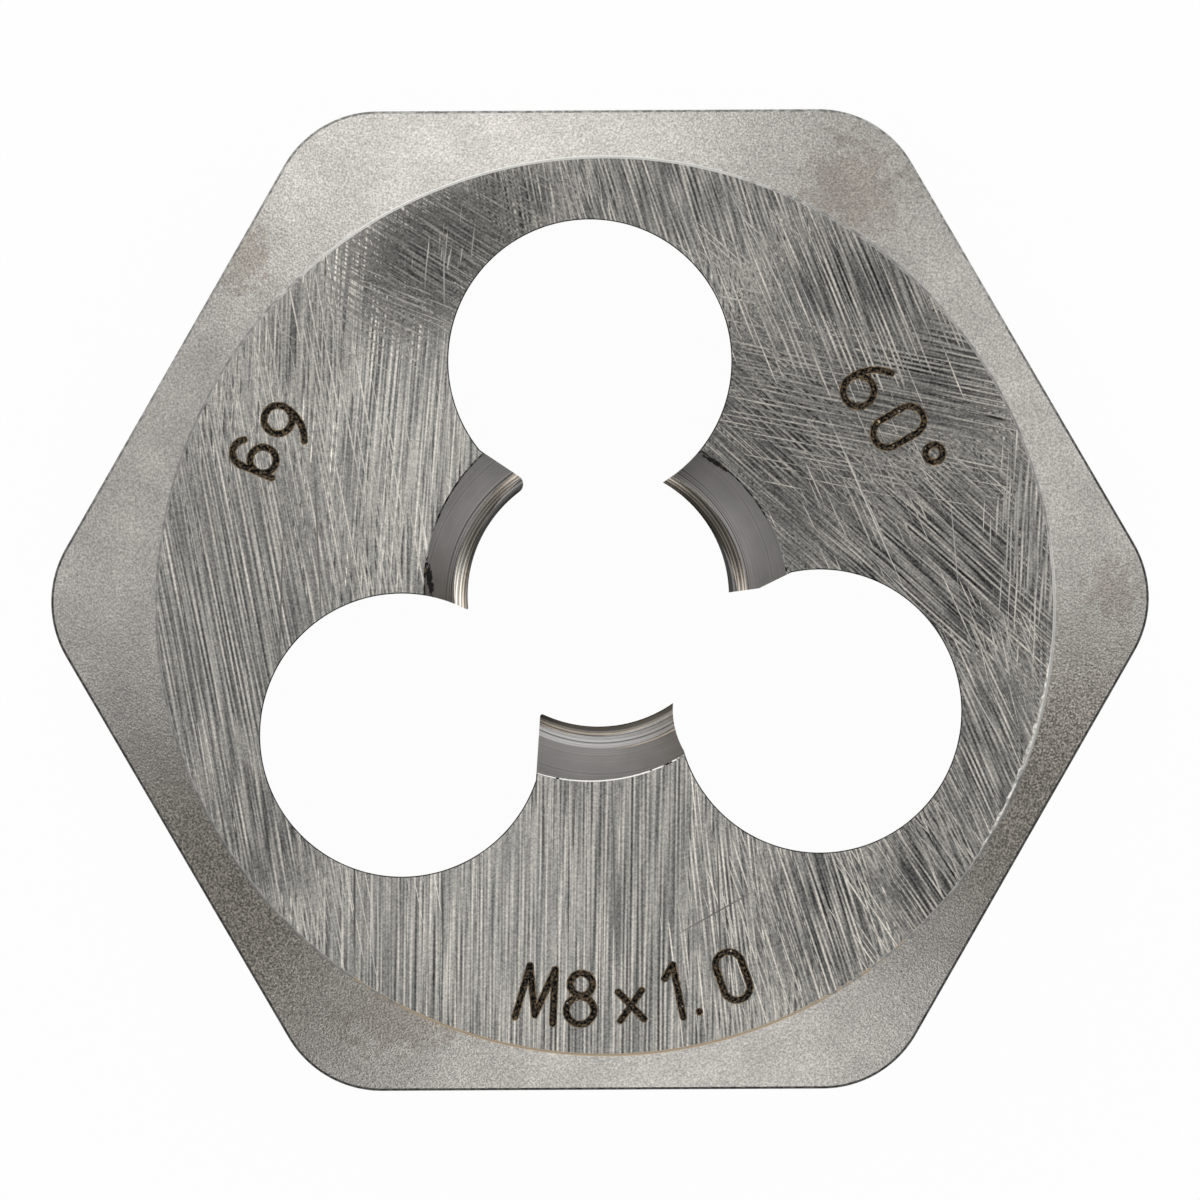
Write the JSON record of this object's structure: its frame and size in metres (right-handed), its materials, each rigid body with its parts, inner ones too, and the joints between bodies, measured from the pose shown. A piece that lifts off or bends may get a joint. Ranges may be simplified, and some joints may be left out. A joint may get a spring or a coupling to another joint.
{
  "type": "hex threading die",
  "caption": "Solid hexagonal thread cutting die with a fine metric thread, chip holes and chamfered ground faces.",
  "frame": {"origin": "centre of the back face, on the axis of the thread", "axes": "+Z along the thread, out of the marked face; +X towards a corner of the hexagon"},
  "size_m": [0.0284, 0.0254, 0.0095],
  "materials": {
    "die_steel": "ground face, bead-blasted chamfers"
  },
  "bodies": {
    "root": {"hex_die": "die_steel"}
  },
  "joints": []
}
